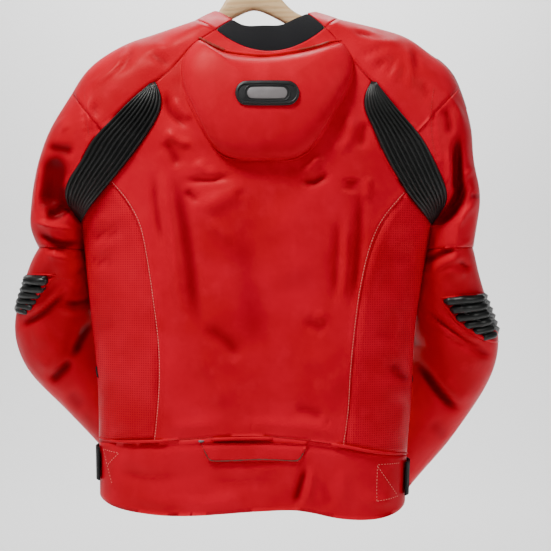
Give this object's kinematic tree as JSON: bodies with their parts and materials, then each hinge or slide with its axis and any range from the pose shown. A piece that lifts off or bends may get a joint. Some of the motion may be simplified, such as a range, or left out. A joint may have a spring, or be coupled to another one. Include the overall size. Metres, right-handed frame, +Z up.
{
  "type": "leather motorcycle jacket on a wooden hanger",
  "caption": "Red leather motorcycle jacket with a padded back hump, black ribbed stretch panels and a front zip, hanging zipped on a wooden hanger.",
  "frame": {"origin": "the point inside the hanger's hook that bears on the rail", "axes": "+Z up, +X to the wearer's right, -Y out of the back of the jacket"},
  "size_m": [0.6818, 0.2919, 0.7875],
  "materials": {
    "red_leather": "bright red grained cowhide with a soft gloss",
    "stretch_black": "black ribbed stretch panel, satin",
    "collar_black": "black soft knitted collar cloth, matte",
    "webbing_black": "black woven tape, matte",
    "badge_rubber": "black moulded rubber patch with a grey inset",
    "plate_black": "black shoulder plate, satin",
    "zip_metal": "dark plated metal",
    "hanger_wood": "pale lacquered wood",
    "hook_steel": "bright steel wire"
  },
  "bodies": {
    "root": {"back_centre": "red_leather", "back_side_l": "red_leather", "back_side_r": "red_leather", "front_l": "red_leather", "front_r": "red_leather", "waistband_back": "red_leather", "waistband_front_l": "red_leather", "waistband_front_r": "red_leather", "waist_tab": "red_leather", "shoulder_l": "red_leather", "shoulder_r": "red_leather", "sleeve_upper_l": "red_leather", "sleeve_upper_r": "red_leather", "sleeve_lower_l": "red_leather", "sleeve_lower_r": "red_leather", "cuff_l": "red_leather", "cuff_r": "red_leather", "collar_l": "red_leather", "collar_r": "red_leather", "hump": "red_leather", "hump_badge": "badge_rubber", "collar_back": "collar_black", "shoulder_stretch_l": "stretch_black", "shoulder_stretch_r": "stretch_black", "elbow_stretch_l": "stretch_black", "elbow_stretch_r": "stretch_black", "shoulder_plate_l": "plate_black", "shoulder_plate_r": "plate_black", "side_strap_l": "webbing_black", "side_strap_r": "webbing_black", "pocket_zip_l": "webbing_black", "pocket_zip_r": "webbing_black", "main_zip": "webbing_black", "zip_slider": "zip_metal", "hanger_body": "hanger_wood", "hanger_hook": "hook_steel"},
    "zip_pull": {"zip_pull": "zip_metal"}
  },
  "joints": [
    {"name": "zip_pull_swing", "type": "hinge", "parent": "root", "child": "zip_pull", "pos_m": [0.0182, 0.075, -0.18621], "axis": [1, 0, 0], "range_deg": [0, 150]}
  ]
}
